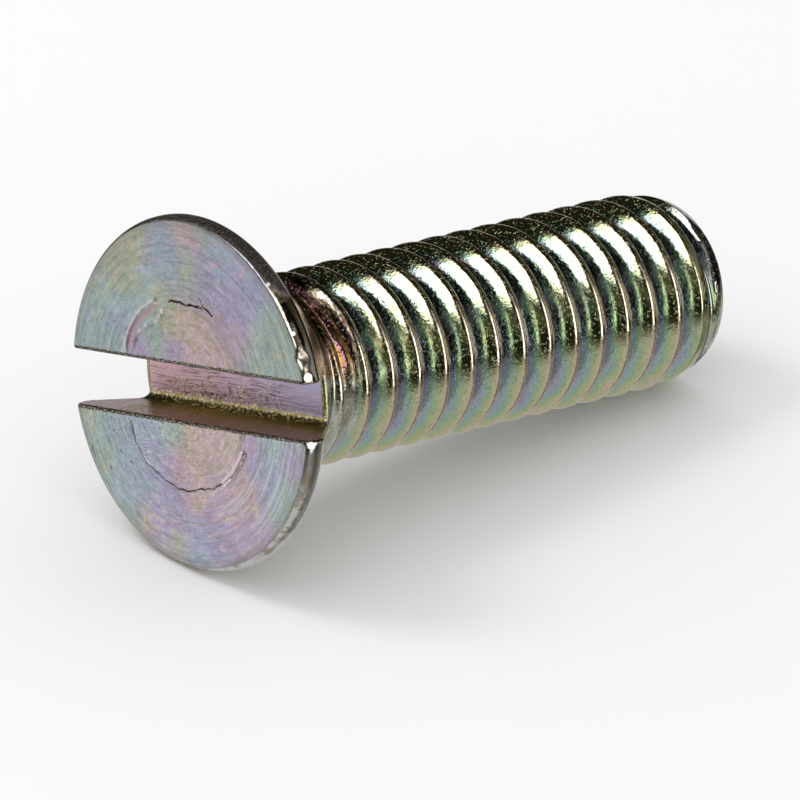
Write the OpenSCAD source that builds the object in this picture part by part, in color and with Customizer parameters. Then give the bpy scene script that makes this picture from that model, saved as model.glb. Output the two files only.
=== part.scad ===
// Slotted countersunk machine screw, M4 x 0.7 by 12.85 mm, lying on its head rim and last thread
// Sizes in millimetres, +Z up, axis from head to tip along +X and down by the resting tilt

/* [Head] */
// Diameter of the head at its rim
head_d = 7.14; // [6.80:0.02:7.50]
// Full angle of the countersink cone
cone_angle = 90; // [84:1:96]
// Height of the rim from the face to the start of the cone
rim_h = 0.35; // [0.30:0.01:0.50]
// Radius of the rounded edge between face and rim
face_edge_r = 0.20; // [0.05:0.01:0.25]
// Width of the small rounding between rim and cone
back_edge = 0.05; // [0.02:0.01:0.08]

/* [Slot] */
// Width of the slot
slot_w = 1.12; // [0.90:0.01:1.30]
// Depth of the slot below the face
slot_depth = 1.20; // [0.80:0.01:1.22]
// Turn of the slot about the axis, from level
slot_turn = 14; // [-90:1:90]

/* [Thread] */
// Diameter over the crests
thread_d = 3.95; // [3.80:0.01:4.10]
// Advance in one turn, right-hand
pitch = 0.70; // [0.60:0.01:0.80]
// Angle between the two flanks
flank_angle = 60; // [50:1:64]
// Width of the flat on the crest
crest_flat = 0.0875; // [0.06:0.005:0.12]
// Depth of the groove from crest to root
thread_depth = 0.43; // [0.34:0.01:0.44]
// Turn of the thread about the axis
thread_turn = 105; // [0:1:359]

/* [Shank] */
// Length from the face to the tip
screw_len = 12.85; // [10.00:0.05:16.00]
// Diameter of the plain neck where the thread runs out under the head
neck_d = 3.56; // [3.40:0.01:3.70]
// Length over which the thread rises from the neck
run_out = 0.45; // [0.30:0.05:1.00]
// Length of the rounded end
tip_len = 1.50; // [0.80:0.05:1.80]
// Diameter of the flat end face
tip_d = 3.16; // [2.90:0.02:3.40]
// Length over which the last groove fades into the end
groove_fade = 0.55; // [0.30:0.05:0.80]

/* [Hidden] */
$fn = 120;
head_r = head_d / 2;
thread_r = thread_d / 2;
neck_r = neck_d / 2;
tip_r = tip_d / 2;
cone_slope = tan(cone_angle / 2);
// Depth below the face at which the cone meets the neck
cone_end = rim_h + (head_r - neck_r) / cone_slope;

// Helix: steps in a turn, first crest inside the cone, last one past the tip
steps = 36;
helix_start = slot_depth + crest_flat;
helix_steps = ceil((screw_len + 0.1 - helix_start) / pitch * steps) + steps;
flank_w = thread_depth * tan(flank_angle / 2);
// The four edges of one ridge along the axis: crest, crest, root, root
edge_z = [-crest_flat / 2, crest_flat / 2, crest_flat / 2 + flank_w, pitch - crest_flat / 2 - flank_w];

// Resting tilt: the back of the rim and the lowest late crest touch the floor together
contact_turn = floor((screw_len - 0.45 - bottom_crest(0)) / pitch);
contact_z = bottom_crest(contact_turn) + crest_flat / 2;
contact_r = end_round(contact_z) * cos(180 / steps);
rest_z = rim_h - back_edge;
tilt = atan((head_r - contact_r) / (contact_z - rest_z));
head_lift = head_r * cos(tilt) + rest_z * sin(tilt);
x_low = -(head_r - face_edge_r) * sin(tilt) - face_edge_r * (1 - cos(tilt));
x_high = screw_len * cos(tilt) + tip_r * sin(tilt);

screw();

// Depth of the n-th crest on the underside of the screw
function bottom_crest(n) = helix_start + pitch * (n + (360 - thread_turn) / 360);

// Smooth step from 0 to 1
function ease(t) = let (c = min(max(t, 0), 1)) c * c * (3 - 2 * c);

// Radius of the rounded end at depth z
function end_round(z) = let (t = min(max((z - screw_len + tip_len) / tip_len, 0), 1))
    tip_r + (thread_r - tip_r) * sqrt(1 - t * t);

// Radius of the crest, which rises from the neck
function crest_at(z) = neck_r + (thread_r - neck_r) * ease((z - cone_end + 0.15) / run_out);

// Radius of the groove bottom, which falls from the neck and rises again before the end
function groove_at(z) = let (
        full = neck_r - (neck_r - thread_r + thread_depth) * ease((z - cone_end + 0.15) / run_out),
        fade = ease((z - screw_len + 0.1 + groove_fade) / groove_fade)
    ) full + (thread_r - full) * fade;

function helix_point(k, m) = let (
        z = helix_start + pitch * k / steps + edge_z[m],
        r = m < 2 ? crest_at(z) : groove_at(z),
        a = thread_turn + 360 * k / steps
    ) [r * cos(a), r * sin(a), z];

// Right-hand thread as one closed skin, four edges a turn, 36 steps a turn
module thread_body() {
    last = helix_steps;
    points = concat(
        [for (k = [0 : last], m = [0 : 3]) helix_point(k, m)],
        [[0, 0, helix_start + pitch / 2], [0, 0, helix_start + pitch * (last / steps + 0.5)]]
    );
    near = 4 * (last + 1);
    far = near + 1;
    flanks = [for (k = [0 : last - 1], m = [0 : 2], h = [0 : 1])
        let (p = 4 * k + m)
        h == 0 ? [p, p + 1, p + 5] : [p, p + 5, p + 4]];
    joins = [for (k = [0 : last - 1 - steps], h = [0 : 1])
        let (p = 4 * k + 3, q = 4 * (k + steps))
        h == 0 ? [p, q, q + 4] : [p, q + 4, p + 4]];
    near_cap = concat(
        [for (k = [0 : steps - 1]) [4 * k, 4 * k + 4, near]],
        [[4 * steps, 3, near], [3, 2, near], [2, 1, near], [1, 0, near]]
    );
    far_cap = concat(
        [for (k = [last - steps : last - 1]) [4 * k + 7, 4 * k + 3, far]],
        [for (m = [0 : 2]) [4 * last + m, 4 * last + m + 1, far]],
        [[4 * (last - steps) + 3, 4 * last, far]]
    );
    polyhedron(points = points, faces = concat(flanks, joins, near_cap, far_cap), convexity = 10);
}

// Head turned from one profile: flat face, rounded edge, rim, cone, neck inside the first thread
module head_solid() {
    rotate_extrude()
        polygon([
            [0, 0],
            [head_r - face_edge_r, 0],
            for (a = [15 : 15 : 75])
                [head_r - face_edge_r + face_edge_r * sin(a), face_edge_r - face_edge_r * cos(a)],
            [head_r, face_edge_r],
            [head_r, rim_h - back_edge],
            [head_r - back_edge / 3, rim_h + back_edge / 4],
            [head_r - back_edge, rim_h + back_edge / cone_slope],
            [neck_r + 0.06, cone_end - 0.06 / cone_slope],
            [neck_r + 0.015, cone_end + 0.03],
            [neck_r - 0.02, cone_end + 0.12],
            [0, cone_end + 0.12]
        ]);
}

// Turned outline that rounds the last turns off to the flat end face
module end_shape() {
    rotate_extrude()
        polygon([
            [0, 0],
            [head_r, 0],
            [head_r, screw_len - tip_len - 0.4],
            for (a = [0 : 10 : 80])
                [tip_r + (thread_r + 0.004 - tip_r) * cos(a), screw_len - tip_len * (1 - sin(a))],
            [tip_r, screw_len],
            [0, screw_len]
        ]);
}

module slot_cut() {
    rotate([0, 0, 90 - slot_turn])
        translate([-head_r - 1, -slot_w / 2, -1])
            cube([head_d + 2, slot_w, slot_depth + 1]);
}

module screw() {
    color("silver")
        translate([-(x_low + x_high) / 2, 0, head_lift])
            rotate([0, 90 + tilt, 0])
                union() {
                    difference() {
                        head_solid();
                        slot_cut();
                    }
                    intersection() {
                        thread_body();
                        end_shape();
                    }
                }
}
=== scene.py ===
import bpy
import numpy as np
from mathutils import Matrix, Vector


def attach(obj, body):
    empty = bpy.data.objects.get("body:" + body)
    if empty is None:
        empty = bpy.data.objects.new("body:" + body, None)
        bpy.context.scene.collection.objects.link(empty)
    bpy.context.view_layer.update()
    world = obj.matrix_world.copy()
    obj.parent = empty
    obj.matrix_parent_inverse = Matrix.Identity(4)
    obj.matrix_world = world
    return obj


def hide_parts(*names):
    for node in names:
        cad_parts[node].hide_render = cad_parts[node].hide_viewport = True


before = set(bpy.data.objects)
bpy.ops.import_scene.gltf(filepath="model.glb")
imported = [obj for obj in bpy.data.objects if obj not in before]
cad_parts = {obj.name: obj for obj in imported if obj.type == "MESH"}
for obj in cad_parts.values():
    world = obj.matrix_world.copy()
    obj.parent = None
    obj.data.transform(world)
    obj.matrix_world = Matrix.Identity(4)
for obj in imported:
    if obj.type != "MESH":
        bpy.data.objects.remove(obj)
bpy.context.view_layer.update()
scene = bpy.context.scene


# The screw: one piece of steel wire. The head is forged, the slot is sawn across it and the thread is
# rolled up to the head. It is then barrel plated with zinc and dipped in a rainbow passivation, whose
# film is thin enough to show interference colours.
head_r = 3.57
rim_h = 0.35
edge_across = 0.13
edge_deep = 0.22
back_edge = 0.08
slot_w = 1.12
slot_depth = 1.20
slot_turn = np.radians(14.0)
slot_edge_r = 0.035
slot_foot_r = 0.16
slot_end_r = 0.05
punch_u, punch_v, punch_r, punch_deep = -0.15, -0.05, 1.86, 0.012
thread_r = 1.975
pitch = 0.70
crest_round = 0.11
root_round = 0.08
thread_depth = 0.43
flank_tan = np.tan(np.radians(30.0))
first_crest = 1.2875
thread_turn = np.radians(105.0)
neck_r = 1.78
neck_fillet = 0.12
cone_end = rim_h + head_r - neck_r
run_out = 0.45
screw_len = 12.85
tip_len = 1.50
tip_r = 1.58
groove_fade = 0.55
end_hollow = 0.05
hollow_r = 1.45
tilt = np.radians(8.0334)
head_face = np.array([-6.23589, 0.0, 3.57689])

# The screw's axis, the way down across it, the slot's direction and the way across the slot, in the room
axis = np.array([np.cos(tilt), 0.0, -np.sin(tilt)])
down = np.array([-np.sin(tilt), 0.0, -np.cos(tilt)])
side = np.array([0.0, 1.0, 0.0])
along_slot = -np.sin(slot_turn) * down - np.cos(slot_turn) * side
across_slot = -np.cos(slot_turn) * down + np.sin(slot_turn) * side

# Grid sizes: columns over half a head, columns over a slot end, rows of the face, columns round the thread
half_cols = 168
end_cols = 12
face_rows = 56
shank_cols = (half_cols + end_cols) * 2 // 3


def ease(t):
    """Smooth step: three times the square less twice the cube of t, held between 0 and 1."""
    t = np.clip(t, 0, 1)
    return t * t * (3 - 2 * t)


def quarter(t, r):
    """Height of a quarter circle of radius r at share t of its width, 0 at the start and r at the end."""
    return r * (1 - np.sqrt(1 - np.clip(t, 0, 1) ** 2))


def soft_min(a, b, k):
    """The smaller of two lengths, with the corner where they cross rounded over the length k."""
    h = np.maximum(k - np.abs(a - b), 0) / k
    return np.minimum(a, b) - h * h * k / 4


def head_outline(z):
    """Radius of the head at depth z: a quarter ellipse at the face, the upright rim, the 45 degree cone."""
    rim = head_r - quarter((edge_deep - z) / edge_deep, edge_across)
    return soft_min(rim, head_r + rim_h - z, back_edge)


def slot_half(z):
    """Half the slot's width at depth z: wider by a small round at the face, narrower by one at the foot."""
    return (
        slot_w / 2
        + quarter((slot_edge_r - z) / slot_edge_r, slot_edge_r)
        - quarter((z - slot_depth + slot_foot_r) / slot_foot_r, slot_foot_r)
    )


def end_drop(z):
    """How far the ends of the slot's floor are rounded over towards the cone, at depth z."""
    return slot_end_r * np.clip((z - 1.0) / (slot_depth - 1.0), 0, 1) ** 2


def place(u, v, z):
    """Points given along the slot, across it and by depth, as millimetres in the room."""
    u, v, z = np.broadcast_arrays(u, v, z)
    return head_face + u[..., None] * along_slot + v[..., None] * across_slot + z[..., None] * axis


skins = []


def add_skin(points, outward):
    """Takes a grid of points as two triangles a cell, turned so that they look the way outward says."""
    rows, cols = points.shape[:2]
    n = np.arange(rows * cols).reshape(rows, cols)
    a, b, c, d = n[:-1, :-1], n[:-1, 1:], n[1:, 1:], n[1:, :-1]
    faces = np.concatenate([np.stack(t, -1).reshape(-1, 3) for t in ((a, b, c), (a, c, d))])
    add_faces(points.reshape(-1, 3), faces, np.broadcast_to(outward, points.shape).reshape(-1, 3))


def add_faces(points, faces, outward):
    """Keeps triangles whose cross product, summed over the skin, looks the way outward says."""
    p = points[faces]
    normals = np.cross(p[:, 1] - p[:, 0], p[:, 2] - p[:, 0])
    if (normals * outward[faces[:, 0]]).sum() < 0:
        faces = faces[:, ::-1]
    skins.append((points, faces))


def from_axis(points):
    """Direction from the screw's axis to each point."""
    q = points - head_face
    return q - (q @ axis)[..., None] * axis


# Head: two half heads, each with its slot wall, its half of the face and its outside, joined by the floor
cols = np.linspace(-1, 1, half_cols + 1)
cols = 0.5 * cols + 0.5 * np.sin(cols * np.pi / 2)
edge_arc = np.radians(np.arange(0, 91, 9))
foot_arc = np.radians(np.arange(0, 91, 15))
levels = np.concatenate([
    edge_deep * (1 - np.cos(edge_arc)),
    np.linspace(0.25, 0.43, 10),
    [0.50, 0.60, 0.75, 0.90],
    slot_depth - slot_foot_r * (1 - np.sin(foot_arc)),
])[:, None]
outer_z = levels + end_drop(levels)
outer_r = head_outline(outer_z)
corner_v = slot_half(levels) + slot_end_r
corner_u = np.sqrt(outer_r ** 2 - corner_v ** 2)
u_wall = cols * corner_u
bend = (np.abs(u_wall) - corner_u + slot_end_r) / slot_end_r
v_wall = slot_half(levels) + quarter(bend, slot_end_r)
z_wall = levels + quarter(bend, 1.0) * end_drop(levels)
half_angle = np.arccos(corner_v / outer_r)
u_out = outer_r * np.sin(cols * half_angle)
v_out = outer_r * np.cos(cols * half_angle)


# Marks on the face, along and across the slot: two cracks at the edge of the punch's mark, the raised
# lips beside them, and the places where the lip is torn and leans towards the light
low_crack = [(-1.82, -0.72), (-1.75, -1.06), (-1.44, -1.52), (-1.18, -1.67), (-0.93, -1.83), (-0.53, -1.95),
             (-0.27, -1.98), (0.15, -1.92), (0.53, -1.84), (0.80, -1.71)]
top_crack = [(-0.46, 1.81), (-0.11, 1.84), (0.00, 1.80), (0.57, 1.79), (0.78, 1.70)]
crack_branch = [(0.57, 1.79), (0.45, 1.98)]
outer_lip = [(-1.85, 0.70), (-1.81, 0.95), (-1.63, 1.25), (-1.44, 1.48), (-1.18, 1.67), (-0.91, 1.81)]
inner_lip = [(-1.64, 0.80), (-1.52, 1.04), (-1.29, 1.22), (-0.99, 1.33), (-0.80, 1.44), (-0.72, 1.56)]
torn_left = [(-1.71, -1.12), (-1.45, -1.47), (-1.24, -1.62)]
torn_right = [(0.87, -1.68), (1.06, -1.52), (1.25, -1.33), (1.48, -1.04)]
far_off = 99.0


def from_line(u, v, line):
    """Distance in the plane of the face from each point to the nearest of a line's straight pieces."""
    nearest = np.full(np.shape(u), far_off)
    for (au, av), (bu, bv) in zip(line, line[1:]):
        du, dv = bu - au, bv - av
        t = np.clip(((u - au) * du + (v - av) * dv) / (du * du + dv * dv), 0, 1)
        nearest = np.minimum(nearest, np.hypot(u - au - t * du, v - av - t * dv))
    return nearest


def face_relief(u, v):
    """Depth of the face's marks: the raised disc of the punch, its cracks as grooves and its raised lips.
    Each mark has its depth and width, and falls off as a bell curve to its sides."""
    r = np.hypot(u - punch_u, v - punch_v)
    depth = -punch_deep * ease((punch_r - r) / 0.14)
    for line, deep, width in (
        (low_crack, 0.012, 0.05),
        (top_crack, 0.010, 0.045),
        (crack_branch, 0.006, 0.04),
        (outer_lip, -0.026, 0.06),
        (inner_lip, -0.016, 0.06),
        (torn_left, -0.02, 0.07),
        (torn_right, -0.034, 0.08),
    ):
        depth = depth + deep * np.exp(-((from_line(u, v, line) / width) ** 2))
    return depth


def worn(points):
    """Presses dents into the rim and rounds the slot's outer corners over. Each dent has its place, depth,
    size and way, and falls off as a bell curve that ends in a low raised ring."""
    for u, v, z, deep, size, way in (
        (3.37, 1.09, 0.05, 0.050, 0.16, -0.8 * along_slot + 0.6 * axis),
        (3.52, 0.62, 0.08, 0.040, 0.16, -0.6 * along_slot + 0.3 * across_slot + 0.7 * axis),
        (3.50, -0.58, 0.05, 0.045, 0.18, -0.45 * along_slot - 0.45 * across_slot + 0.8 * axis),
        (3.20, -1.62, 0.10, 0.03, 0.14, -0.7 * along_slot + 0.7 * axis),
        (2.42, 2.50, 0.12, 0.02, 0.16, -0.5 * along_slot - 0.5 * across_slot + 0.7 * axis),
    ):
        off = np.linalg.norm(points - place(np.array(u), np.array(v), np.array(z)), axis=-1) / size
        points = points + (deep * (1 - 0.7 * off ** 2) * np.exp(-(off ** 2)))[..., None] * way
    return points


share = np.linspace(0, 1, face_rows)[:, None]
u_face = (1 - share) * u_wall[0] + share * u_out[0]
v_face = (1 - share) * v_wall[0] + share * v_out[0]
r_face = np.hypot(u_face, v_face)
# The marks end a little short of the rim and of the slot
inside = ease((outer_r[0] - r_face - 0.05) / 0.15) * ease((v_face - slot_half(0)) / 0.08)
for way in (1, -1):
    add_skin(worn(place(u_wall, way * v_wall, z_wall)), -way * across_slot)
    z_face = inside * face_relief(u_face, way * v_face)
    add_skin(worn(place(u_face, way * v_face, z_face)), -axis)
    outside = worn(place(u_out, way * v_out, np.broadcast_to(outer_z, u_out.shape)))
    add_skin(outside, from_axis(outside))

# Slot floor: its rows run from wall to wall, its ends lie on the cone
across = np.linspace(1, -1, end_cols + 1)[:, None]
end_u = np.sqrt(outer_r[-1] ** 2 - (across * corner_v[-1]) ** 2)
u_floor = cols * end_u
bend = (np.abs(u_floor) - end_u + slot_end_r) / slot_end_r
v_floor = across * (slot_half(slot_depth) + quarter(bend, slot_end_r))
z_floor = slot_depth + quarter(bend, slot_end_r)
add_skin(place(u_floor, v_floor, z_floor), -axis)

# Cone below the slot: the ring's columns are evened out, then three are drawn into one
half_turn = np.concatenate([
    cols[:-1] * half_angle[-1],
    np.pi / 2 - np.arctan2(across[:-1] * corner_v[-1], end_u[:-1])[:, 0],
])
ring = np.concatenate([half_turn, half_turn + np.pi])
even = (np.arange(ring.size) - half_cols / 2) * 2 * np.pi / ring.size
cone_z = np.linspace(slot_depth + slot_end_r, 1.40, 6)[:, None]
shank_z = 1.43
turn = ring + (even - ring) * ease((cone_z - cone_z[0]) / (cone_z[-1] - cone_z[0]))
turn = np.concatenate([turn, turn[:, :1] + 2 * np.pi], 1)
cone_r = head_outline(cone_z)
cone = place(cone_r * np.sin(turn), cone_r * np.cos(turn), np.broadcast_to(cone_z, turn.shape))
add_skin(cone, from_axis(cone))
turns = even[::3]
shank_top_r = head_outline(shank_z)
fine_ring = cone[-1, :-1]
coarse_ring = place(shank_top_r * np.sin(turns), shank_top_r * np.cos(turns), np.array(shank_z))
third = np.arange(shank_cols)
f = [(3 * third + k) % len(fine_ring) for k in range(4)]
c = [len(fine_ring) + (third + k) % shank_cols for k in range(2)]
joint_faces = [(f[0], f[1], c[0]), (f[1], c[1], c[0]), (f[1], f[2], c[1]), (f[2], f[3], c[1])]
joint = np.concatenate([fine_ring, coarse_ring])
add_faces(joint, np.concatenate([np.stack(t, -1) for t in joint_faces]), from_axis(joint))


def end_round(z):
    """Radius of the rounded end at depth z: a quarter ellipse from the crest to the flat end face."""
    t = np.clip((z - screw_len + tip_len) / tip_len, 0, 1)
    return tip_r + (thread_r - tip_r) * np.sqrt(1 - t * t)


def thread_outline(z, from_crest):
    """Radius of the thread at depth z, at a distance along the axis from the middle of the nearest crest.
    The depth below the crest grows along a hyperbola that runs into the flank, down to a round root. The
    round of the end holds the radius within the crest's all along, also at the foot of the head's cone,
    where this leaves an open step."""
    depth = (np.sqrt(from_crest ** 2 + crest_round ** 2) - crest_round) / flank_tan
    depth = soft_min(depth, thread_depth, root_round) / thread_depth
    rise = ease((z - cone_end + 0.15) / run_out)
    crest = neck_r + (thread_r - neck_r) * rise
    groove = neck_r - (neck_r - thread_r + thread_depth) * rise
    groove = groove + (thread_r - groove) * ease((z - screw_len + 0.1 + groove_fade) / groove_fade)
    r = crest - (crest - groove) * depth
    r = -soft_min(-r, -(head_r + rim_h - z), neck_fillet)
    return soft_min(r, end_round(z), 0.02)


def shank_point(turn, z):
    """Point of the shank at a turn from the way across the slot, and at depth z."""
    lead = first_crest + pitch * (turn + slot_up - thread_turn) / (2 * np.pi)
    off = np.mod(z - lead, pitch)
    r = thread_outline(z, np.minimum(off, pitch - off))
    return place(r * np.sin(turn), r * np.cos(turn), z)


# Thread: rows follow the helix, close together over crest and root, and are cut level at both ends
slot_up = np.pi - slot_turn
band_z = 12.60
half_rows = np.array([0.0, 0.022, 0.045, 0.070, 0.098, 0.130, 0.165, 0.205, 0.250, 0.290, 0.322])
rows_in_turn = np.concatenate([half_rows, [pitch / 2], pitch - half_rows[:0:-1]])
first_turn, last_turn = -2, 17
rows = (np.arange(first_turn, last_turn + 1)[:, None] * pitch + rows_in_turn).ravel()
lead = first_crest + pitch * (turns + slot_up - thread_turn) / (2 * np.pi)
helix_z = np.clip(rows[:, None] + lead, shank_z, band_z)
helix = shank_point(np.broadcast_to(turns, helix_z.shape), helix_z)
per_turn = rows_in_turn.size
helix = np.concatenate([helix[:-per_turn], helix[per_turn:, :1]], 1)
add_skin(helix, from_axis(helix))

# End: level rings round the last of the grooves over to the flat end face
swing = np.arcsin((band_z - screw_len + tip_len) / tip_len)
end_z = screw_len - tip_len + tip_len * np.sin(np.linspace(swing, np.pi / 2, 13))[:, None]
closed = np.append(turns, turns[0] + 2 * np.pi)
end_z, end_turn = np.broadcast_arrays(end_z, closed)
end_skin = shank_point(end_turn, end_z)
add_skin(end_skin, from_axis(end_skin))
rim_r = np.linalg.norm(from_axis(end_skin[-1]), axis=-1)
disc_r = np.linspace(1, 0, 12)[:, None] * rim_r
disc_z = screw_len - end_hollow * ease(hollow_r - disc_r)
disc = place(disc_r * np.sin(closed), disc_r * np.cos(closed), disc_z)
add_skin(disc, axis)

# One mesh in metres: points that meet become one, and triangles without area go
points_per_mm = 2e4
points = np.concatenate([p for p, _ in skins])
starts = np.cumsum([0] + [len(p) for p, _ in skins[:-1]])
faces = np.concatenate([f + s for (_, f), s in zip(skins, starts)])
keys = np.round(points * points_per_mm).astype(np.int64)
_, keep, meet = np.unique(keys, axis=0, return_index=True, return_inverse=True)
faces = meet.ravel()[faces]
faces = faces[(faces[:, 0] != faces[:, 1]) & (faces[:, 1] != faces[:, 2]) & (faces[:, 2] != faces[:, 0])]
points = points[keep] / 1000

mesh = bpy.data.meshes.new("screw_skin")
mesh.from_pydata(points, [], faces.tolist())
mesh.shade_smooth()
mesh.set_sharp_from_angle(angle=np.radians(50))

# How the film's colour drifts over the face: patches given along and across the slot, each with
# its size and its share of one turn of the colours, which run from 0 lavender over 0.18 blue, 0.36 mint,
# 0.55 olive, 0.72 peach and 0.87 rose back to lavender
patch_reach = 0.55
least_weight = 1e-9
local = points * 1000 - head_face
at_u, at_v = local @ along_slot, local @ across_slot
film = np.zeros((len(points), 3))
weights = np.zeros(len(points))
for patch_u, patch_v, size, share in (
    (-2.95, 1.30, 0.5, 0.33), (-2.65, 2.00, 0.5, 0.42), (-2.10, 2.35, 0.5, 0.55),
    (-1.50, 2.80, 0.5, 0.62), (-1.50, 2.20, 0.3, 0.55), (-1.05, 2.30, 0.4, 0.22),
    (-0.80, 2.05, 0.3, 0.54), (-0.50, 2.90, 0.5, 0.20), (0.00, 3.20, 0.3, 0.80),
    (0.45, 3.05, 0.3, 0.90), (0.80, 3.25, 0.3, 0.38), (0.15, 2.55, 0.3, 0.50),
    (1.05, 2.65, 0.5, 0.20), (0.90, 2.25, 0.4, 0.05), (1.50, 2.00, 0.5, 0.00),
    (2.00, 2.10, 0.4, 0.12), (2.50, 1.45, 0.5, 0.42), (2.30, 0.85, 0.6, 0.42),
    (1.55, 1.30, 0.4, 0.93), (0.45, 1.25, 0.5, 0.76), (1.05, 0.90, 0.4, 0.82),
    (-0.40, 1.30, 0.3, 0.62), (-0.40, 0.90, 0.3, 0.98), (-0.90, 1.00, 0.3, 0.40),
    (-1.50, 1.65, 0.3, 0.30), (-2.05, 1.30, 0.3, 0.12), (-2.30, 0.85, 0.4, 0.33),
    (-1.40, 0.75, 0.3, 0.98), (-2.95, -0.90, 0.4, 0.45), (-2.45, -1.05, 0.4, 0.25),
    (-2.65, -1.55, 0.3, 0.48), (-2.00, -1.95, 0.5, 0.22), (-2.30, -2.45, 0.4, 0.40),
    (-1.35, -1.80, 0.4, 0.18), (-1.50, -2.65, 0.3, 0.70), (-1.10, -2.60, 0.4, 0.03),
    (-0.60, -2.50, 0.4, 0.00), (-0.60, -3.05, 0.3, 0.62), (0.00, -3.20, 0.5, 0.20),
    (0.45, -2.75, 0.5, 0.02), (0.00, -2.20, 0.3, 0.72), (0.50, -2.20, 0.3, 0.92),
    (1.05, -2.10, 0.4, 0.88), (1.55, -1.80, 0.3, 0.76), (1.65, -2.45, 0.4, 0.95),
    (2.10, -1.50, 0.4, 0.10), (2.40, -0.85, 0.4, 0.32), (2.80, -1.15, 0.3, 0.93),
    (2.65, -1.90, 0.4, 0.40), (0.00, -1.25, 0.5, 0.74), (0.75, -1.35, 0.4, 0.82),
    (-0.60, -1.50, 0.4, 0.92), (-1.05, -1.05, 0.3, 0.20), (1.05, -0.90, 0.4, 0.74),
    (1.70, -0.90, 0.3, 0.93), (-0.60, -0.85, 0.3, 0.42),
):
    weight = np.exp(-np.hypot(at_u - patch_u, at_v - patch_v) / (patch_reach * size)) + least_weight
    weights += weight
    film[:, 0] += weight * np.cos(2 * np.pi * share)
    film[:, 1] += weight * np.sin(2 * np.pi * share)
film /= weights[:, None]
film_data = mesh.attributes.new("film", "FLOAT_VECTOR", "POINT").data
film_data.foreach_set("vector", film.astype(np.float32).ravel())
screw = bpy.data.objects.new("screw_metal", mesh)
scene.collection.objects.link(screw)


# Finish of the screw: bright zinc under a film whose colour turns from lavender through blue, green and
# yellow to rose
class Nodes:
    """Adds the nodes of one material or world in the order of working, and links them as they are made."""

    def __init__(self, tree):
        self.tree = tree

    def add(self, kind, *inputs, out=0, **settings):
        node = self.tree.nodes.new(kind)
        for name, value in settings.items():
            setattr(node, name, value)
        for socket, value in zip(node.inputs, inputs):
            self.give(socket, value)
        return node.outputs[out] if len(node.outputs) else node

    def give(self, socket, value):
        if isinstance(value, bpy.types.NodeSocket):
            self.tree.links.new(value, socket)
        elif value is not None:
            socket.default_value = value

    def math(self, operation, *inputs, clamp=False):
        return self.add("ShaderNodeMath", *inputs, operation=operation, use_clamp=clamp)

    def step(self, value, low, high, to_low=0.0, to_high=1.0):
        return self.add(
            "ShaderNodeMapRange", value, low, high, to_low, to_high, interpolation_type="SMOOTHSTEP"
        )

    def noise(self, vector, scale, detail=2.0, roughness=0.5):
        node = self.tree.nodes.new("ShaderNodeTexNoise")
        self.give(node.inputs["Vector"], vector)
        self.give(node.inputs["Scale"], scale)
        self.give(node.inputs["Detail"], detail)
        self.give(node.inputs["Roughness"], roughness)
        return node.outputs[0]

    def ramp(self, value, stops):
        node = self.tree.nodes.new("ShaderNodeValToRGB")
        self.give(node.inputs[0], value)
        points = node.color_ramp.elements
        for k, (place_at, colour) in enumerate(stops):
            point = points[k] if k < 2 else points.new(place_at)
            point.position, point.color = place_at, (*colour, 1.0)
        return node.outputs[0]

    def mix(self, share, a, b, blend="MIX"):
        node = self.tree.nodes.new("ShaderNodeMix")
        node.data_type, node.blend_type = "RGBA", blend
        self.give(node.inputs[0], share)
        for socket, colour in ((node.inputs[6], a), (node.inputs[7], b)):
            self.give(socket, (*colour, 1.0) if isinstance(colour, tuple) else colour)
        return node.outputs[2]


metal = bpy.data.materials.new("rainbow_zinc")
metal.use_nodes = True
metal.node_tree.nodes.clear()
n = Nodes(metal.node_tree)


def spread(value, size):
    """Turns a noise round 0.5 into a change of up to about a quarter of the size, up or down."""
    return n.math("MULTIPLY_ADD", value, size, -0.5 * size)


def total(*parts):
    """Sum of several values."""
    result = parts[0]
    for part in parts[1:]:
        result = n.math("ADD", result, part)
    return result


def times(*parts):
    """Product of several values."""
    result = parts[0]
    for part in parts[1:]:
        result = n.math("MULTIPLY", result, part)
    return result


def most(*parts):
    """Largest of several values."""
    result = parts[0]
    for part in parts[1:]:
        result = n.math("MAXIMUM", result, part)
    return result


def from_middle(a, b):
    """Distance of a place from the middle: the root of the sum of the squares of its two parts."""
    return n.math("SQRT", n.math("ADD", n.math("MULTIPLY", a, a), n.math("MULTIPLY", b, b)))


def grey(value):
    """The colour with the same value for red, green and blue."""
    return value, value, value


# The place on the screw in millimetres: along the slot, across it, and out of the face, which is depth z
# turned round. The noises on it are the mottle, grain, crystals and patches of the plating.
frame_rows = Matrix([along_slot, across_slot, -axis])
own = n.tree.nodes.new("ShaderNodeMapping")
n.give(own.inputs["Vector"], n.add("ShaderNodeTexCoord", out=3))
own.inputs["Scale"].default_value = (1000, 1000, 1000)
own.inputs["Rotation"].default_value = frame_rows.to_euler()
own.inputs["Location"].default_value = -(frame_rows @ Vector(head_face))
own = own.outputs[0]
split = n.tree.nodes.new("ShaderNodeSeparateXYZ")
n.give(split.inputs[0], own)
u, v, h = split.outputs
z = n.math("MULTIPLY", h, -1.0)
beside = n.math("ABSOLUTE", v)
radius = from_middle(u, v)
mottle = n.noise(own, 7.0, 3.0, 0.6)
grain = n.noise(own, 26.0, 2.0, 0.6)
crystal = n.noise(own, 17.0, 1.0, 0.5)
worn_patch = n.noise(own, 3.2, 2.0, 0.6)
patchy = n.noise(own, 1.1, 2.0, 0.5)

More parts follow.
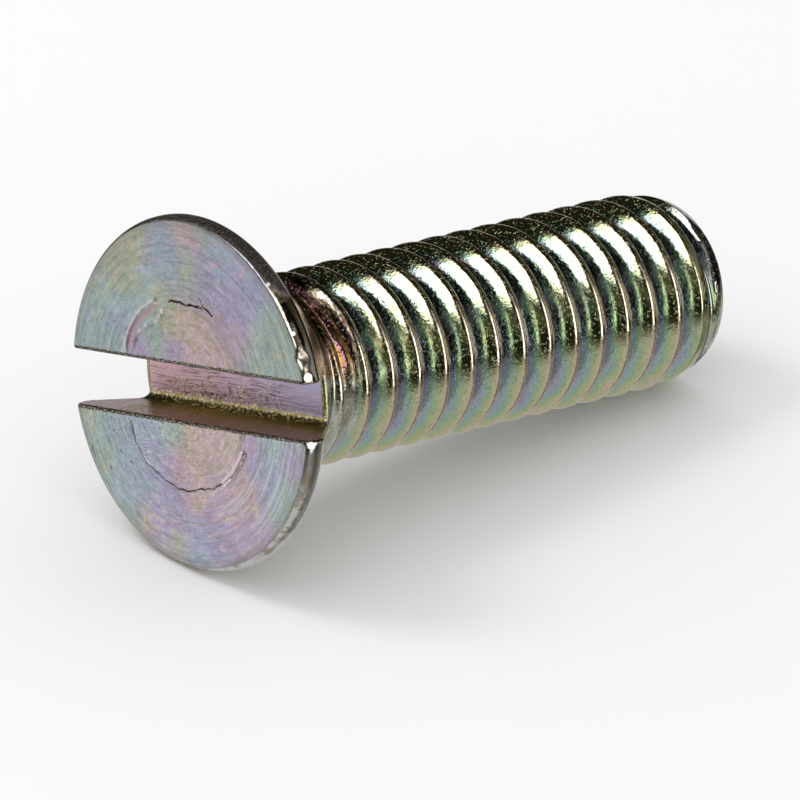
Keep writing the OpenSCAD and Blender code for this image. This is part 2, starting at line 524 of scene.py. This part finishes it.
# Marks of the face: the plane's own place, shaken a little so that no line runs quite straight
shake = n.tree.nodes.new("ShaderNodeTexNoise")
n.give(shake.inputs["Vector"], own)
n.give(shake.inputs["Scale"], 5.0)
shake = n.add("ShaderNodeVectorMath", shake.outputs["Color"], (0.5, 0.5, 0.5), operation="SUBTRACT")
shake = n.add("ShaderNodeVectorMath", shake, (0.13, 0.13, 0.0), operation="MULTIPLY")
flat = n.add("ShaderNodeVectorMath", n.add("ShaderNodeCombineXYZ", u, v, 0.0), shake, operation="ADD")


def on_line(line, half_width, soft):
    """1 on a line of the face, 0 beside it: a smooth step of the distance to the nearest straight piece."""
    nearest = far_off
    for a, b in zip(line, line[1:]):
        start, way = Vector((*a, 0)), Vector((*b, 0)) - Vector((*a, 0))
        off = n.add("ShaderNodeVectorMath", flat, start, operation="SUBTRACT")
        along = n.add("ShaderNodeVectorMath", off, way / way.length_squared, operation="DOT_PRODUCT", out=1)
        along = n.math("ADD", along, 0.0, clamp=True)
        scaled = n.add("ShaderNodeCombineXYZ", times(along, way.x), times(along, way.y), 0.0)
        off = n.add("ShaderNodeVectorMath", off, scaled, operation="SUBTRACT")
        nearest = n.math("MINIMUM", nearest, n.add("ShaderNodeVectorMath", off, operation="LENGTH", out=1))
    return n.step(nearest, half_width, half_width + soft, 1.0, 0.0)


def spot(at_u, at_v, size, soft):
    """1 inside a round spot of the face, 0 outside it."""
    off = n.add("ShaderNodeVectorMath", flat, (at_u, at_v, 0.0), operation="DISTANCE", out=1)
    return n.step(off, size, size + soft, 1.0, 0.0)


cracks = most(
    on_line(low_crack, 0.005, 0.020),
    times(on_line(top_crack, 0.018, 0.018), n.step(mottle, 0.64, 0.58)),
    on_line(crack_branch, 0.004, 0.018),
)
# The raised lips of the relief are painted pale as a highlight
lip_highlights = most(
    times(on_line(outer_lip, 0.016, 0.02), n.step(mottle, 0.34, 0.40)),
    times(on_line(inner_lip, 0.014, 0.03), n.step(mottle, 0.47, 0.52)),
)
pink_line = [(-1.73, 0.80), (-1.60, 1.12), (-1.40, 1.36), (-1.14, 1.53), (-0.90, 1.68)]
pink_band = on_line(pink_line, 0.045, 0.06)

# Fine turning lines and flecks, drawn out round the punch's mark
ring_u, ring_v = n.math("ADD", u, -punch_u), n.math("ADD", v, -punch_v)
ring_r = from_middle(ring_u, ring_v)
ring_u, ring_v = n.math("DIVIDE", ring_u, ring_r), n.math("DIVIDE", ring_v, ring_r)


def round_noise(turning, outward, roughness):
    """Noise drawn out round the ring: how fast it changes over the turn and outward."""
    at = (times(ring_u, turning), times(ring_v, turning), times(ring_r, outward))
    return n.noise(n.add("ShaderNodeCombineXYZ", *at), 1.0, 3.0, roughness)


streak = round_noise(1.2, 15.0, 0.60)
fleck = round_noise(8.0, 11.0, 0.68)
torn = most(
    times(on_line(torn_left, 0.010, 0.02), n.step(mottle, 0.44, 0.50)),
    times(on_line(torn_right, 0.040, 0.05), n.step(streak, 0.38, 0.48)),
    spot(-0.68, 1.62, 0.035, 0.03),
    spot(-0.86, 1.75, 0.02, 0.02),
)
turned = n.tree.nodes.new("ShaderNodeMapping")
n.give(turned.inputs["Vector"], own)
turned.inputs["Rotation"].default_value = (0, 0, np.radians(-52))
turned.inputs["Scale"].default_value = (4.0, 22.0, 1.0)
scratches = n.noise(turned.outputs[0], 1.0, 3.0, 0.65)
scratches = times(n.step(scratches, 0.55, 0.61), spot(-1.10, -1.15, 0.30, 0.50))

# Face: a thin film that drifts from lavender to mint, olive and rose, and greys where its patches meet
drift = n.tree.nodes.new("ShaderNodeAttribute")
drift.attribute_name = "film"
drift_parts = n.tree.nodes.new("ShaderNodeSeparateXYZ")
n.give(drift_parts.inputs[0], drift.outputs["Vector"])
clear = n.add("ShaderNodeVectorMath", drift.outputs["Vector"], operation="LENGTH", out=1)
clear = n.step(clear, 0.0, 0.75)
drift = n.math("ARCTAN2", drift_parts.outputs[1], drift_parts.outputs[0])
face_film = total(
    times(drift, 0.5 / np.pi),
    spread(streak, 0.30),
    spread(fleck, 0.34),
    spread(worn_patch, 0.30),
)
face_film = total(face_film, spread(mottle, 0.22))
flecked = most(n.step(v, -1.3, -2.2, 0.2, 0.8), n.step(v, 1.6, 2.4, 0.2, 0.8))
face_film = total(face_film, times(n.step(fleck, 0.57, 0.62), flecked, -0.36))
face_colour = n.ramp(n.math("FRACT", face_film), [
    (0.00, (0.63, 0.54, 0.80)),
    (1.00, (0.63, 0.54, 0.80)),
    (0.18, (0.55, 0.63, 0.79)),
    (0.36, (0.55, 0.71, 0.67)),
    (0.55, (0.68, 0.71, 0.50)),
    (0.72, (0.84, 0.66, 0.54)),
    (0.87, (0.82, 0.60, 0.72)),
])
face_colour = n.mix(n.step(clear, 0.0, 1.0, 1.0, 0.16), face_colour, (0.64, 0.63, 0.65))
shade = total(
    0.97,
    spread(fleck, 0.9),
    spread(mottle, 0.5),
    spread(grain, 0.9),
    spread(streak, 0.5),
    spread(patchy, 0.4),
)
face_colour = n.mix(1.0, face_colour, shade, "MULTIPLY")
lined = most(spot(1.9, -1.5, 0.7, 0.9), spot(-2.6, 0.6, 0.5, 0.8))
face_colour = n.mix(times(n.step(streak, 0.54, 0.66), lined, 0.75), face_colour, (0.80, 0.88, 0.88))
face_colour = n.mix(times(n.step(streak, 0.42, 0.34), 0.16), face_colour, (0.36, 0.32, 0.36))
face_colour = n.mix(times(pink_band, 0.65), face_colour, (0.76, 0.46, 0.52))
browned = times(n.step(radius, 3.20, 3.46), n.step(grain, 0.44, 0.54), 0.6)
face_colour = n.mix(browned, face_colour, (0.38, 0.36, 0.30))
dull = times(n.step(fleck, 0.60, 0.67), most(spot(-2.5, -1.4, 0.5, 0.5), spot(-1.35, 0.85, 0.15, 0.2)))
face_colour = n.mix(times(dull, 0.8), face_colour, (0.16, 0.15, 0.14))
# Painted highlight on the raised lips
face_colour = n.mix(lip_highlights, face_colour, (0.98, 0.92, 0.94))
face_colour = n.mix(times(scratches, 0.8), face_colour, (0.84, 0.86, 0.95))
face_colour = n.mix(torn, face_colour, (0.25, 0.20, 0.24))
slot_edge = n.step(total(beside, spread(grain, 0.08)), 0.622, 0.645, 1.0, 0.0)
edge_colour = n.mix(n.step(grain, 0.52, 0.60), (0.09, 0.075, 0.06), (0.72, 0.64, 0.50))
face_colour = n.mix(slot_edge, face_colour, edge_colour)
face_colour = n.mix(cracks, face_colour, (0.05, 0.035, 0.035))

# Slot: rose and violet on the floor with dark saw marks along it and pits in its lower half, gold beads of
# zinc in its lower corner, and gold turning to brown on the walls
saw_place = n.add("ShaderNodeVectorMath", own, (1.3, 20.0, 9.0), operation="MULTIPLY")
saw = n.noise(saw_place, 1.6, 4.0, 0.66)
floor_colour = n.mix(n.step(u, -2.2, 2.6), (0.84, 0.56, 0.60), (0.66, 0.58, 0.80))
floor_colour = n.mix(n.step(saw, 0.42, 0.34, 0.0, 0.6), floor_colour, (0.86, 0.68, 0.72))
pitted = times(
    n.step(total(v, spread(worn_patch, 1.2)), 0.02, -0.20),
    n.step(u, 1.8, 0.6),
    n.step(u, -2.4, -1.4),
)
dotted = times(n.step(crystal, 0.60, 0.64), pitted)
floor_colour = n.mix(times(n.step(crystal, 0.43, 0.38), pitted, 0.75), floor_colour, (0.16, 0.08, 0.07))
floor_colour = n.mix(dotted, floor_colour, (1.00, 0.84, 0.62))
marked = times(n.step(u, 2.4, 0.8), 0.62)
floor_colour = n.mix(times(n.step(saw, 0.53, 0.60), marked), floor_colour, (0.18, 0.09, 0.09))
low_side = n.math("SUBTRACT", times(v, -1.0), spread(mottle, 0.16))
gilded = times(n.step(low_side, 0.37, 0.42), n.step(grain, 0.38, 0.50, 0.5, 1.0))
floor_colour = n.mix(gilded, floor_colour, (0.74, 0.62, 0.24))
# Painted shade in the foot where the floor meets the lower wall
floor_colour = n.mix(n.step(low_side, 0.44, 0.48), floor_colour, (0.16, 0.17, 0.03))
beaded = times(n.step(crystal, 0.56, 0.60), n.step(low_side, 0.32, 0.37), n.step(u, 2.5, 2.2))
floor_colour = n.mix(beaded, floor_colour, (1.00, 0.92, 0.66))
corner = n.step(low_side, 0.36, 0.40)
# A painted highlight at the left end of that corner
floor_colour = n.mix(times(corner, n.step(u, -2.35, -2.60)), floor_colour, (0.96, 0.76, 0.50))
wall_foot = n.step(total(z, spread(mottle, 0.4)), 0.35, 0.75)
wall_colour = n.mix(wall_foot, (0.40, 0.24, 0.16), (0.36, 0.31, 0.03))
wall_colour = n.mix(n.step(grain, 0.57, 0.63, 0.0, 0.9), wall_colour, (1.00, 0.86, 0.50))
# The walls' left ends are painted lighter as light
wall_colour = n.mix(n.step(u, -2.25, -2.40), wall_colour, (0.66, 0.48, 0.46))
at_ends = n.step(n.math("ABSOLUTE", u), 2.54, 2.57)
end_edge = n.mix(n.step(grain, 0.46, 0.56), (0.30, 0.27, 0.14), (0.62, 0.60, 0.38))
floor_colour = n.mix(at_ends, floor_colour, end_edge)
slot_colour = n.mix(n.step(z, 1.04, 1.10), wall_colour, floor_colour)
slot_colour = n.mix(n.step(z, 0.05, 0.03), slot_colour, edge_colour)

# Thread: the film thickens from the crest to the root, and on top the root is painted dark as shade
deep = n.math("DIVIDE", n.math("SUBTRACT", thread_r, radius), thread_depth)
change = total(spread(patchy, 0.75), spread(mottle, 0.35), spread(grain, 0.15))
thread_film = total(deep, times(change, n.step(deep, 0.03, 0.25)))
thread_colour = n.ramp(thread_film, [
    (0.00, (0.80, 0.58, 0.34)),
    (1.00, (0.12, 0.12, 0.07)),
    (0.035, (0.80, 0.73, 0.57)),
    (0.09, (0.70, 0.64, 0.44)),
    (0.19, (0.67, 0.67, 0.38)),
    (0.33, (0.56, 0.67, 0.40)),
    (0.49, (0.47, 0.63, 0.53)),
    (0.66, (0.38, 0.45, 0.44)),
    (0.82, (0.31, 0.28, 0.30)),
])
# On the underside the film is thicker: tan and olive by the crest, then green, blue and mauve at the root,
# which is not painted dark there
under_colour = n.ramp(thread_film, [
    (0.00, (0.80, 0.62, 0.48)),
    (1.00, (0.44, 0.36, 0.46)),
    (0.04, (0.76, 0.65, 0.48)),
    (0.10, (0.68, 0.67, 0.42)),
    (0.22, (0.56, 0.64, 0.34)),
    (0.38, (0.42, 0.60, 0.46)),
    (0.55, (0.44, 0.55, 0.62)),
    (0.74, (0.53, 0.46, 0.62)),
])
under = n.step(total(v, spread(patchy, 0.8)), 0.15, -0.75, 0.0, 0.85)
thread_colour = n.mix(under, thread_colour, under_colour)
# The plain end keeps a thin film
end_colour = n.mix(n.step(patchy, 0.38, 0.62), (0.60, 0.65, 0.50), (0.56, 0.54, 0.62))
thread_colour = n.mix(n.step(z, 12.30, 12.50), thread_colour, end_colour)
# Where the thread runs out under the head the film is thicker and turns through orange and magenta
turned_lines = n.add("ShaderNodeVectorMath", own, (1.2, 1.2, 10.0), operation="MULTIPLY")
turned_lines = n.noise(turned_lines, 1.0, 3.0, 0.6)
neck_z = total(z, spread(mottle, 0.25), spread(worn_patch, 0.35))
neck_colour = n.ramp(n.step(neck_z, 1.75, 2.95), [
    (0.00, (0.42, 0.33, 0.28)),
    (1.00, (0.60, 0.55, 0.50)),
    (0.26, (0.46, 0.34, 0.26)),
    (0.58, (0.98, 0.60, 0.20)),
    (0.68, (1.00, 0.86, 0.50)),
    (0.79, (0.80, 0.42, 0.62)),
    (0.88, (0.48, 0.36, 0.24)),
])
upper_front = times(n.step(total(v, spread(worn_patch, 0.8)), -0.10, 0.35), n.step(u, -0.8, 0.2))
lined_zinc = n.mix(n.step(turned_lines, 0.38, 0.62), (0.52, 0.51, 0.42), (0.72, 0.71, 0.62))
lined_brown = n.mix(n.step(turned_lines, 0.37, 0.47), (0.16, 0.11, 0.08), (1.0, 1.0, 1.0))
neck_colour = n.mix(1.0, neck_colour, lined_brown, "MULTIPLY")
neck_colour = n.mix(upper_front, lined_zinc, neck_colour)
by_head = n.step(total(z, spread(patchy, 0.6)), 3.00, 2.75)
thread_colour = n.mix(by_head, thread_colour, neck_colour)
# A painted highlight winds round the neck there as a streak, orange on one side and rose on the other
highlight_z = total(z, times(v, 0.13), spread(worn_patch, 0.10), spread(turned_lines, 0.10), -2.65)
painted_neck_highlight = times(
    n.step(n.math("ABSOLUTE", highlight_z), 0.100, 0.070),
    n.step(u, 0.2, 0.7),
    n.step(v, -0.1, 0.3),
)
painted_neck_highlight = times(painted_neck_highlight, n.step(total(grain, spread(mottle, 0.8)), 0.40, 0.47))
highlight_colour = n.mix(n.step(highlight_z, 0.045, 0.065), (0.37, 0.19, 0.06), (0.27, 0.14, 0.22))
highlight_colour = n.mix(n.step(highlight_z, 0.010, -0.010), highlight_colour, (0.42, 0.38, 0.36))
thread_colour = n.mix(painted_neck_highlight, thread_colour, highlight_colour)

# Rim: painted light low on the near side, brown and painted darker as shade above, darker brown behind. Its
# edge by the face has pale painted highlights and dark painted shade in patches, and its top is painted
# black as shade
rim_colour = n.mix(n.step(v, -0.6, 0.3), (0.86, 0.85, 0.82), (0.38, 0.33, 0.29))
rim_colour = n.mix(n.step(u, 0.6, -0.6), rim_colour, (0.26, 0.21, 0.16))
# Painted shade on the rim below the slot's lower corner
shade_by_corner = times(n.step(v, -0.60, -0.75), n.step(v, -2.0, -1.3), n.step(z, 0.30, 0.20), 0.75)
rim_colour = n.mix(shade_by_corner, rim_colour, (0.24, 0.24, 0.22))
inner_rim = n.step(total(z, spread(mottle, 0.10)), 0.17, 0.09)
# Pale patches on the edge by the face are painted highlight, and the dark gaps between are painted shade
painted_edge_highlight = times(n.step(worn_patch, 0.44, 0.52), inner_rim, n.step(v, -0.9, 0.2))
rim_colour = n.mix(painted_edge_highlight, rim_colour, (0.92, 0.86, 0.74))
painted_edge_shade = times(n.step(worn_patch, 0.50, 0.43), inner_rim, n.step(v, -0.2, 0.4), 0.8)
rim_colour = n.mix(painted_edge_shade, rim_colour, (0.10, 0.08, 0.06))
browned = times(n.step(total(worn_patch, spread(mottle, 0.6)), 0.58, 0.38), n.step(z, 0.30, 0.14), 0.8)
rim_colour = n.mix(browned, rim_colour, (0.42, 0.34, 0.23))
rim_colour = n.mix(n.step(z, 0.40, 0.55), rim_colour, neck_colour)
# The top of the rim is painted black and dull as shade
painted_top_shade = times(
    n.step(total(v, spread(worn_patch, 0.9)), 2.10, 2.55),
    n.step(z, 0.010, 0.025),
    n.step(z, 0.40, 0.30),
)
top_shade_colour = n.mix(n.step(grain, 0.52, 0.62), (0.018, 0.014, 0.012), (0.10, 0.08, 0.06))
rim_colour = n.mix(painted_top_shade, rim_colour, top_shade_colour)

# The parts put together: thread, outside of the head, slot and face, then dark specks in the plating and
# a small glint at each bruise, given by its place and size
on_head = n.step(z, 1.35, 1.75, 1.0, 0.0)
on_face = n.step(total(z, spread(mottle, 0.012)), 0.008, 0.018, 1.0, 0.0)
in_slot = times(n.step(z, 1.25, 1.28, 1.0, 0.0), n.step(beside, 0.598, 0.606, 1.0, 0.0))
colour = n.mix(on_head, thread_colour, rim_colour)
colour = n.mix(in_slot, colour, slot_colour)
colour = n.mix(on_face, colour, face_colour)
colour = n.mix(n.step(grain, 0.58, 0.70, 0.0, 0.20), colour, (0.16, 0.14, 0.10))
glints = 0.0
for at, size in (
    ((3.49, 0.70, -0.08), 0.085),
    ((3.49, -0.65, -0.05), 0.08),
    ((3.36, 1.22, -0.04), 0.035),
    ((3.17, 1.56, -0.04), 0.03),
    ((2.50, 2.48, -0.04), 0.035),
    ((-2.72, -0.53, -1.15), 0.05),
):
    off = n.add("ShaderNodeVectorMath", own, at, operation="DISTANCE", out=1)
    glints = n.math("MAXIMUM", glints, n.step(off, size, size + 0.02, 1.0, 0.0))
colour = n.mix(glints, colour, (0.60, 0.60, 0.62))

# Grain of the plating as bump. The torn places and the glints lean towards the soft box, and the painted
# highlight on the neck towards the panel beside the camera
bump_height = 0.000010
soft_box_way = 0.41 * (along_slot + across_slot) - axis
panel_way = (-0.444, -0.818, 0.367)
crystals = total(times(crystal, 0.22), times(n.step(crystal, 0.60, 0.67), 0.6))
plating = total(times(grain, 0.20), times(crystals, n.step(z, 1.3, 2.2)), times(mottle, 0.08))
face_texture = total(
    times(grain, 0.30),
    times(mottle, 0.15),
    times(streak, lined, 0.5),
    times(streak, 0.15),
)
slot_texture = total(
    times(grain, 0.3),
    times(saw, 0.5),
    times(dotted, 0.8),
    times(corner, times(mottle, 1.5)),
)
height = n.mix(in_slot, plating, slot_texture)
height = n.mix(on_face, height, face_texture)
bump = n.tree.nodes.new("ShaderNodeBump")
bump.inputs["Strength"].default_value = 1.0
bump.inputs["Distance"].default_value = bump_height
n.give(bump.inputs["Height"], height)
leaning = n.math("MAXIMUM", n.step(times(torn, on_face), 0.35, 0.60), glints)
to_box = n.add("ShaderNodeVectorMath", soft_box_way, operation="SCALE")
n.give(to_box.node.inputs["Scale"], leaning)
to_panel = n.add("ShaderNodeVectorMath", panel_way, operation="SCALE")
in_highlight = n.step(painted_neck_highlight, 0.35, 0.60)
n.give(to_panel.node.inputs["Scale"], in_highlight)
normal = n.add("ShaderNodeVectorMath", bump.outputs[0], operation="SCALE")
n.give(normal.node.inputs["Scale"], n.math("SUBTRACT", 1.0, most(leaning, in_highlight)))
normal = n.add("ShaderNodeVectorMath", normal, to_box, operation="ADD")
normal = n.add("ShaderNodeVectorMath", normal, to_panel, operation="ADD")
normal = n.add("ShaderNodeVectorMath", normal, operation="NORMALIZE")

# The zinc is smooth, less so low on the rim, at the dents, in the slot, where it is torn and on the face,
# and dull where the top of the rim is painted black as shade
roughness = n.mix(on_face, grey(0.10), grey(0.34))
low_rim = times(n.step(z, 0.45, 0.35), n.step(v, 0.0, -0.5))
dented = n.add("ShaderNodeVectorMath", own, (3.40, 0.98, -0.08), operation="DISTANCE", out=1)
dented = times(n.step(dented, 0.20, 0.42, 1.0, 0.0), n.step(z, 0.45, 0.35))
roughness = n.mix(most(low_rim, dented), roughness, grey(0.25))
roughness = n.mix(in_slot, roughness, grey(0.26))
roughness = n.mix(leaning, roughness, grey(0.28))
roughness = n.mix(painted_top_shade, roughness, grey(0.55))
surface = n.tree.nodes.new("ShaderNodeBsdfPrincipled")
n.give(surface.inputs["Metallic"], n.math("SUBTRACT", 1.0, painted_top_shade))
n.give(surface.inputs["Base Color"], colour)
n.give(surface.inputs["Roughness"], roughness)
n.give(surface.inputs["Normal"], normal)
n.add("ShaderNodeOutputMaterial", surface.outputs[0])
mesh.materials.append(metal)
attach(screw, "root")
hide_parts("screw")


# Floor: a plain matt white table, level with the lowest point of the screw
floor_size = 4.0
floor_mesh = bpy.data.meshes.new("table_skin")
corners = np.array([(-1, -1, 0), (1, -1, 0), (1, 1, 0), (-1, 1, 0)]) * floor_size / 2
floor_mesh.from_pydata(corners, [], [(0, 1, 2, 3)])
floor = bpy.data.objects.new("table", floor_mesh)
scene.collection.objects.link(floor)
white = bpy.data.materials.new("matt_white")
white.use_nodes = True
matt = white.node_tree.nodes["Principled BSDF"]
matt.inputs["Base Color"].default_value = (0.86, 0.86, 0.86, 1)
matt.inputs["Roughness"].default_value = 0.9
floor_mesh.materials.append(white)
floor.visible_glossy = False


# Studio, as the metal sees it: a soft box high on the left, a panel to the right of the camera, weak light
# from behind, dark cloth between and a white table below. What is not metal sees plain pale light from all
# sides.
studio = bpy.data.worlds.new("studio")
scene.world = studio
studio.use_nodes = True
studio.node_tree.nodes.clear()
studio.cycles.sampling_method = "NONE"
w = Nodes(studio.node_tree)
look = w.tree.nodes.new("ShaderNodeSeparateXYZ")
w.give(look.inputs[0], w.add("ShaderNodeTexCoord", out=0))
lx, ly, lz = look.outputs
height = w.math("MULTIPLY", w.math("ARCSINE", lz), 180 / np.pi)
bearing = w.math("MULTIPLY", w.math("ARCTAN2", ly, w.math("MULTIPLY", lx, -1.0)), 180 / np.pi)


def patch(low_b, high_b, low_h, high_h, soft_b, soft_h):
    """A soft edged panel between two bearings and two heights, in degrees."""
    right_edge = w.step(bearing, low_b - soft_b, low_b)
    left_edge = w.step(bearing, high_b, high_b + soft_b, 1.0, 0.0)
    low_edge = w.step(height, low_h - soft_h, low_h)
    high_edge = w.step(height, high_h, high_h + soft_h, 1.0, 0.0)
    sides = w.math("MULTIPLY", right_edge, left_edge)
    return w.math("MULTIPLY", sides, w.math("MULTIPLY", low_edge, high_edge))


# The table, then each panel with its bearings, heights, soft edges and brightness. Bearing 0 is straight
# before the head's face, and the camera stands at -48
seen = w.math(
    "MULTIPLY",
    w.step(height, -28.0, -13.0, 0.50, 0.015),
    w.step(bearing, -112.0, -92.0, 0.42, 1.0),
)
for *panel, brightness in (
    (-40, 6, 8, 15, 14, 6, 0.085),
    (-24, 28, 29, 56, 8, 7, 3.4),
    (-86, -64, -8, 32, 5, 7, 2.6),
    (-66, -50, -40, -16, 6, 8, 0.50),
    (-105, -58, 32, 50, 8, 5, 0.30),
    (-190, -145, 25, 60, 8, 8, 0.06),
    (150, 190, 25, 60, 12, 8, 0.05),
    (-144, -122, -4, 24, 6, 7, 0.60),
    (-165, -144, 10, 34, 6, 6, 0.16),
    (112, 150, -40, 0, 6, 5, 0.60),
    (34, 78, -40, 5, 6, 8, 0.62),
):
    seen = w.math("MAXIMUM", seen, w.math("MULTIPLY", patch(*panel), brightness))
# The darkest parts are tinted yellow. Light that isn't mirrored is plain white
path = w.tree.nodes.new("ShaderNodeLightPath")
cloth = w.mix(w.step(seen, 0.02, 0.30), (1.0, 1.0, 0.55), (1.0, 1.0, 1.0))
lit = w.mix(1.0, cloth, seen, "MULTIPLY")
pale = w.mix(path.outputs["Is Glossy Ray"], (1.0, 1.0, 1.0), lit)
w.add("ShaderNodeOutputWorld", w.add("ShaderNodeBackground", pale, 1.0))

# A soft lamp behind the head gives the table its shadow. The metal doesn't mirror it
lamp = bpy.data.lights.new("soft_lamp", "AREA")
lamp.shape = "DISK"
lamp.size = 0.05
lamp.energy = 0.04
soft_lamp = bpy.data.objects.new("soft_lamp", lamp)
scene.collection.objects.link(soft_lamp)
soft_lamp.location = (-0.05, 0.07, 0.12)
soft_lamp.rotation_euler = (-soft_lamp.location).to_track_quat("-Z", "Y").to_euler()
soft_lamp.visible_glossy = False


# Camera: a long lens, 400 mm from the head, looking down by 27 degrees from the front left
turn_left, look_down = np.radians(41.4975), np.radians(27.1482)
stand_off = 400
aim_right, aim_up = 4.14, -0.1079
px_per_mm = 50.7591
picture_px = 800
right = Vector((np.cos(turn_left), -np.sin(turn_left), 0))
back = Vector((-np.sin(turn_left), -np.cos(turn_left), 0)) * np.cos(look_down)
back.z = np.sin(look_down)
up = back.cross(right)
lens_cam = bpy.data.cameras.new("camera")
lens_cam.sensor_width = 36.0
lens_cam.lens = px_per_mm * stand_off / picture_px * lens_cam.sensor_width
lens_cam.clip_start, lens_cam.clip_end = 0.01, 10.0
camera = bpy.data.objects.new("camera", lens_cam)
scene.collection.objects.link(camera)
stand = Vector(head_face) + stand_off * back + aim_right * right + aim_up * up
camera.matrix_world = Matrix.Translation(stand / 1000) @ Matrix([right, up, back]).transposed().to_4x4()
scene.camera = camera
scene.view_settings.view_transform = "Standard"
